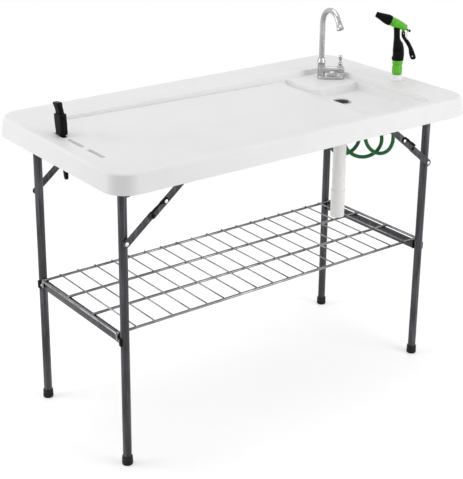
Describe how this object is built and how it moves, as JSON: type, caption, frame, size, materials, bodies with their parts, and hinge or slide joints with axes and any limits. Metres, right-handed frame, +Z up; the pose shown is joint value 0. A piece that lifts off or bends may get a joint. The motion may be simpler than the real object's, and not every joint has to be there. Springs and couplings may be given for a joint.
{
  "type": "folding sink table",
  "caption": "Outdoor cleaning table with a moulded top, drained basin, tap, hand sprayer on a curly hose, wire shelf, knife slots and legs that fold flat on locking braces.",
  "frame": {"origin": "on the floor under the middle of the table top", "axes": "+X along the table towards the basin, +Y to the back edge behind the tap, +Z up"},
  "size_m": [1.156, 0.61, 1.0156],
  "materials": {
    "white_polyethylene": "fine moulded texture, satin",
    "white_pipe": "smooth, slightly warm white",
    "grey_powder_coat": "streaky dark grey powder coat",
    "black_rubber": "matte",
    "black_plastic": "satin",
    "bright_zinc": "bright zinc plate",
    "chrome": "polished",
    "bright_green_plastic": "glossy",
    "green_hose": "glossy, translucent look",
    "blade_steel": "ground"
  },
  "bodies": {
    "table": {"tabletop": "white_polyethylene", "side_rail_front": "grey_powder_coat", "side_rail_back": "grey_powder_coat", "drain_strainer": "bright_zinc", "drain_locknut": "white_polyethylene", "drain_pipe": "white_pipe", "drain_outlet": "white_pipe", "tap_base_plate": "chrome", "tap_body": "chrome", "tap_collar": "chrome", "tap_locknut": "black_plastic", "hose_adapter": "black_plastic", "sprayer_socket": "white_polyethylene", "coil_hose": "green_hose"},
    "leg_frame_left": {"leg_frame_left": "grey_powder_coat", "foot_cap_front_left": "black_rubber", "foot_cap_back_left": "black_rubber"},
    "lower_link_front_left": {"lower_link_front_left": "grey_powder_coat"},
    "upper_link_front_left": {"upper_link_front_left": "grey_powder_coat"},
    "lock_catch_front_left": {"lock_catch_front_left": "black_plastic"},
    "lower_link_back_left": {"lower_link_back_left": "grey_powder_coat"},
    "upper_link_back_left": {"upper_link_back_left": "grey_powder_coat"},
    "lock_catch_back_left": {"lock_catch_back_left": "black_plastic"},
    "leg_frame_right": {"leg_frame_right": "grey_powder_coat", "foot_cap_front_right": "black_rubber", "foot_cap_back_right": "black_rubber"},
    "lower_link_front_right": {"lower_link_front_right": "grey_powder_coat"},
    "upper_link_front_right": {"upper_link_front_right": "grey_powder_coat"},
    "lock_catch_front_right": {"lock_catch_front_right": "black_plastic"},
    "lower_link_back_right": {"lower_link_back_right": "grey_powder_coat"},
    "upper_link_back_right": {"upper_link_back_right": "grey_powder_coat"},
    "lock_catch_back_right": {"lock_catch_back_right": "black_plastic"},
    "shelf_supports": {"crossbar_left": "grey_powder_coat", "crossbar_right": "grey_powder_coat", "saddle_front_left": "black_plastic", "saddle_back_left": "black_plastic", "saddle_front_right": "black_plastic", "saddle_back_right": "black_plastic"},
    "rack": {"rack": "chrome"},
    "spout": {"tap_spout": "chrome", "tap_nozzle": "chrome"},
    "lever": {"tap_lever": "chrome"},
    "hose_end": {"hose_connector": "bright_green_plastic"},
    "sprayer": {"connector_ring": "bright_green_plastic", "sprayer_grip": "black_plastic", "sprayer_barrel": "bright_green_plastic"},
    "bezel": {"sprayer_bezel": "black_plastic"},
    "knob": {"flow_knob": "black_plastic"},
    "trigger": {"sprayer_trigger": "black_plastic", "trigger_pin": "bright_zinc"},
    "clip": {"trigger_lock_clip": "bright_zinc"},
    "sheath": {"knife_sheath": "black_plastic"},
    "knife": {"knife_handle": "black_plastic", "knife_blade": "blade_steel"}
  },
  "joints": [
    {"name": "leg_fold_left", "type": "hinge", "parent": "table", "child": "leg_frame_left", "pos_m": [-0.5045, 0, 0.745], "axis": [0, -1, 0], "range_deg": [0, 83]},
    {"name": "lower_link_turn_front_left", "type": "hinge", "parent": "leg_frame_left", "child": "lower_link_front_left", "pos_m": [-0.5045, -0.22295, 0.609], "axis": [0, -1, 0], "range_deg": [0, 49.38]},
    {"name": "upper_link_turn_front_left", "type": "hinge", "parent": "table", "child": "upper_link_front_left", "pos_m": [-0.3365, -0.22735, 0.745], "axis": [0, -1, 0], "range_deg": [-37.73, 0]},
    {"name": "lock_catch_turn_front_left", "type": "hinge", "parent": "upper_link_front_left", "child": "lock_catch_front_left", "pos_m": [-0.39641, -0.2299, 0.69651], "axis": [0, -1, 0], "range_deg": [-25, 0]},
    {"name": "lower_link_turn_back_left", "type": "hinge", "parent": "leg_frame_left", "child": "lower_link_back_left", "pos_m": [-0.5045, 0.22295, 0.609], "axis": [0, -1, 0], "range_deg": [0, 49.38]},
    {"name": "upper_link_turn_back_left", "type": "hinge", "parent": "table", "child": "upper_link_back_left", "pos_m": [-0.3365, 0.22735, 0.745], "axis": [0, -1, 0], "range_deg": [-37.73, 0]},
    {"name": "lock_catch_turn_back_left", "type": "hinge", "parent": "upper_link_back_left", "child": "lock_catch_back_left", "pos_m": [-0.39641, 0.2299, 0.69651], "axis": [0, -1, 0], "range_deg": [-25, 0]},
    {"name": "leg_fold_right", "type": "hinge", "parent": "table", "child": "leg_frame_right", "pos_m": [0.5045, 0, 0.745], "axis": [0, 1, 0], "range_deg": [0, 90]},
    {"name": "lower_link_turn_front_right", "type": "hinge", "parent": "leg_frame_right", "child": "lower_link_front_right", "pos_m": [0.5045, -0.22295, 0.609], "axis": [0, 1, 0], "range_deg": [0, 51.02]},
    {"name": "upper_link_turn_front_right", "type": "hinge", "parent": "table", "child": "upper_link_front_right", "pos_m": [0.3365, -0.22735, 0.745], "axis": [0, 1, 0], "range_deg": [-39, 0]},
    {"name": "lock_catch_turn_front_right", "type": "hinge", "parent": "upper_link_front_right", "child": "lock_catch_front_right", "pos_m": [0.39641, -0.2299, 0.69651], "axis": [0, 1, 0], "range_deg": [-25, 0]},
    {"name": "lower_link_turn_back_right", "type": "hinge", "parent": "leg_frame_right", "child": "lower_link_back_right", "pos_m": [0.5045, 0.22295, 0.609], "axis": [0, 1, 0], "range_deg": [0, 51.02]},
    {"name": "upper_link_turn_back_right", "type": "hinge", "parent": "table", "child": "upper_link_back_right", "pos_m": [0.3365, 0.22735, 0.745], "axis": [0, 1, 0], "range_deg": [-39, 0]},
    {"name": "lock_catch_turn_back_right", "type": "hinge", "parent": "upper_link_back_right", "child": "lock_catch_back_right", "pos_m": [0.39641, 0.2299, 0.69651], "axis": [0, 1, 0], "range_deg": [-25, 0]},
    {"name": "shelf_drop", "type": "slide", "parent": "table", "child": "shelf_supports", "axis": [0, 0, -1], "range_m": [0, 0.29]},
    {"name": "rack_lift", "type": "slide", "parent": "shelf_supports", "child": "rack", "axis": [0, 0, 1], "range_m": [0, 0.04]},
    {"name": "spout_swivel", "type": "hinge", "parent": "table", "child": "spout", "pos_m": [0.394, 0.12332, 0.86], "axis": [0, 0, 1], "range_deg": [-120, 120]},
    {"name": "lever_tilt", "type": "hinge", "parent": "table", "child": "lever", "pos_m": [0.43773, 0.08915, 0.8428], "axis": [0.788, -0.6157, 0], "range_deg": [0, 45]},
    {"name": "sprayer_lift", "type": "slide", "parent": "table", "child": "hose_end", "axis": [0, 0, 1], "range_m": [0, 0.15]},
    {"name": "sprayer_swivel", "type": "hinge", "parent": "hose_end", "child": "sprayer", "pos_m": [0.526, -0.057, 0.87], "axis": [0, 0, 1], "range_deg": [-90, 90]},
    {"name": "bezel_turn", "type": "hinge", "parent": "sprayer", "child": "bezel", "pos_m": [0.54172, -0.06937, 0.9651], "axis": [-0.7196, 0.5663, 0.4019], "range_deg": [-60, 60]},
    {"name": "knob_turn", "type": "hinge", "parent": "sprayer", "child": "knob", "pos_m": [0.54045, -0.06837, 0.96144], "axis": [-0.7196, 0.5663, 0.4019], "range_deg": [-90, 90]},
    {"name": "trigger_pull", "type": "hinge", "parent": "sprayer", "child": "trigger", "pos_m": [0.53543, -0.06442, 0.9509], "axis": [0.6184, 0.7859, 0], "range_deg": [0, 9], "stiffness_Nm_per_rad": 0.5, "springref_deg": -5.73},
    {"name": "clip_turn", "type": "hinge", "parent": "trigger", "child": "clip", "pos_m": [0.54219, -0.06974, 0.9334], "axis": [0.6184, 0.7859, 0], "range_deg": [0, 100]},
    {"name": "sheath_draw", "type": "slide", "parent": "table", "child": "sheath", "axis": [0, 0.1219, 0.9925], "range_m": [0, 0.17]},
    {"name": "knife_draw", "type": "slide", "parent": "sheath", "child": "knife", "axis": [0, 0.1219, 0.9925], "range_m": [0, 0.13]}
  ],
  "couplings": [
    {"joint": "lower_link_turn_front_left", "follows": "leg_fold_left", "ratio": 0.59484},
    {"joint": "upper_link_turn_front_left", "follows": "leg_fold_left", "ratio": -0.45448},
    {"joint": "lower_link_turn_back_left", "follows": "leg_fold_left", "ratio": 0.59484},
    {"joint": "upper_link_turn_back_left", "follows": "leg_fold_left", "ratio": -0.45448},
    {"joint": "lower_link_turn_front_right", "follows": "leg_fold_right", "ratio": 0.56677},
    {"joint": "upper_link_turn_front_right", "follows": "leg_fold_right", "ratio": -0.43323},
    {"joint": "lower_link_turn_back_right", "follows": "leg_fold_right", "ratio": 0.56677},
    {"joint": "upper_link_turn_back_right", "follows": "leg_fold_right", "ratio": -0.43323}
  ]
}
